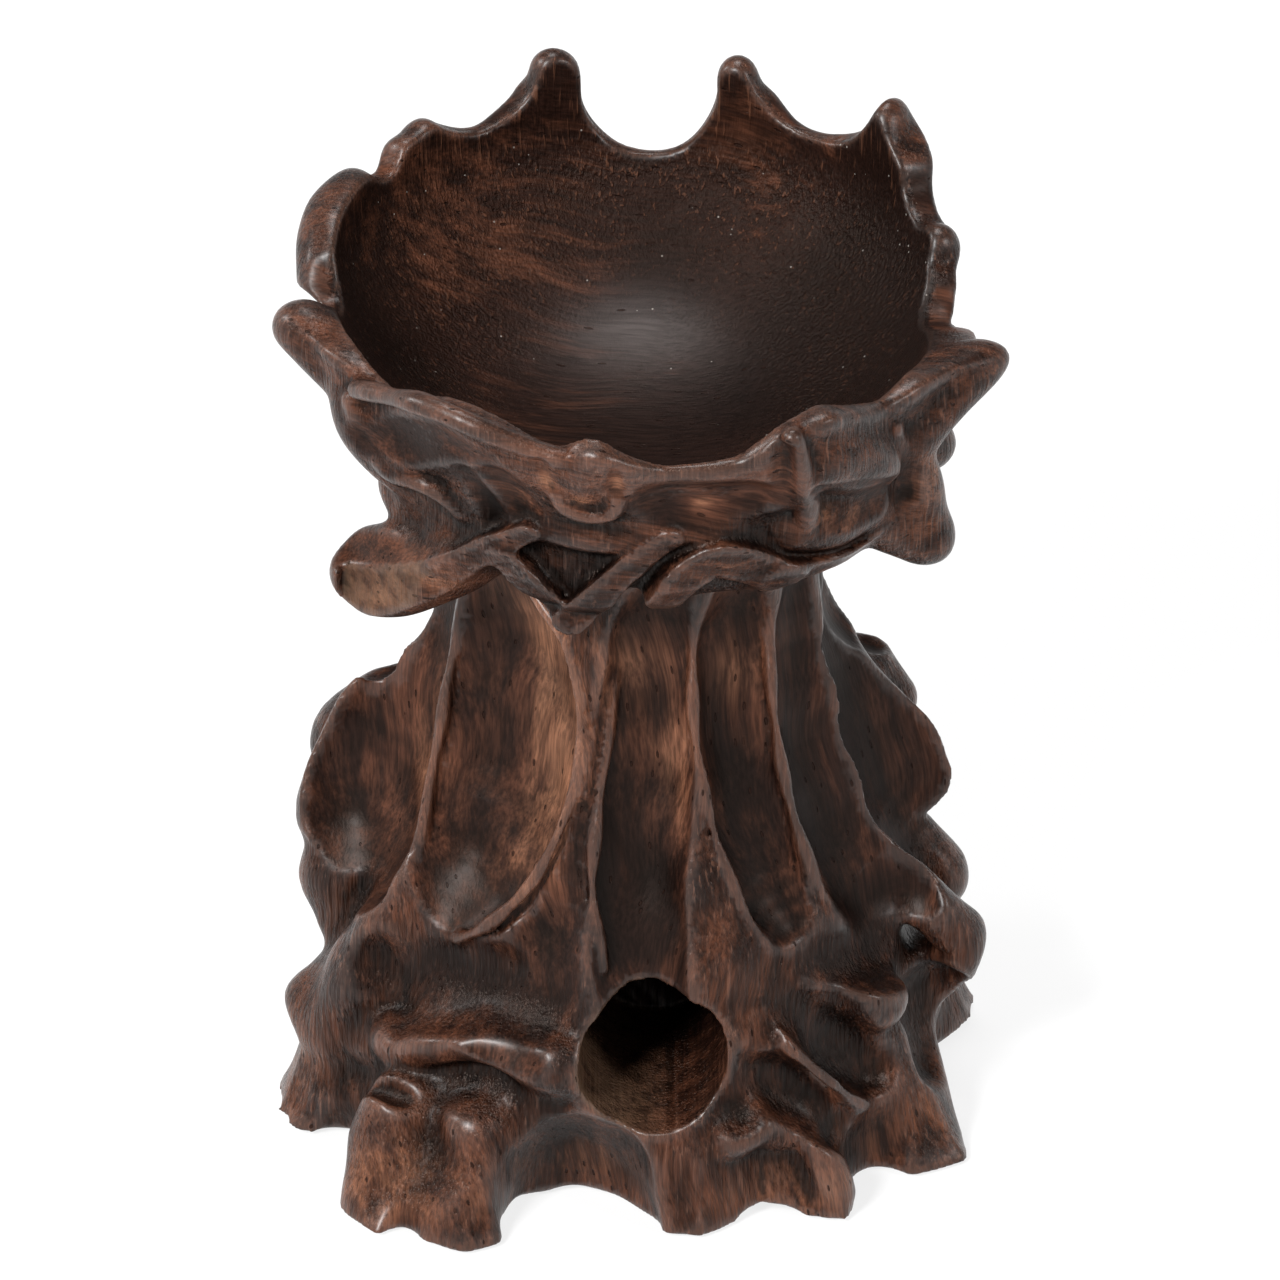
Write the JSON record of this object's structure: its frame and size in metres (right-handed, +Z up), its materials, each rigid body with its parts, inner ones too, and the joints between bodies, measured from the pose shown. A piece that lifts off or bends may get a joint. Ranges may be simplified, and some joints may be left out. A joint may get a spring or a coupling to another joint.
{
  "type": "carved wood incense burner",
  "caption": "Dark carved-wood incense burner shaped as a gnarled stump: scalloped dished bowl on a fluted, waisted trunk with knobbly roots and a drilled front socket.",
  "frame": {"origin": "on the table, under the centre of the bounding box, which is also the turning axis of the bowl", "axes": "+Z up along the turning axis, -Y to the front, where the socket opens"},
  "size_m": [0.073, 0.0668, 0.1014],
  "materials": {
    "dark_wood": "oiled, polished in the bowl and flutes, brushed on the roots",
    "felt": "pressed wool felt"
  },
  "bodies": {
    "root": {"crown_bowl": "dark_wood", "root_pedestal": "dark_wood", "felt_foot_1": "felt", "felt_foot_2": "felt", "felt_foot_3": "felt", "felt_foot_4": "felt", "felt_foot_5": "felt"}
  },
  "joints": []
}
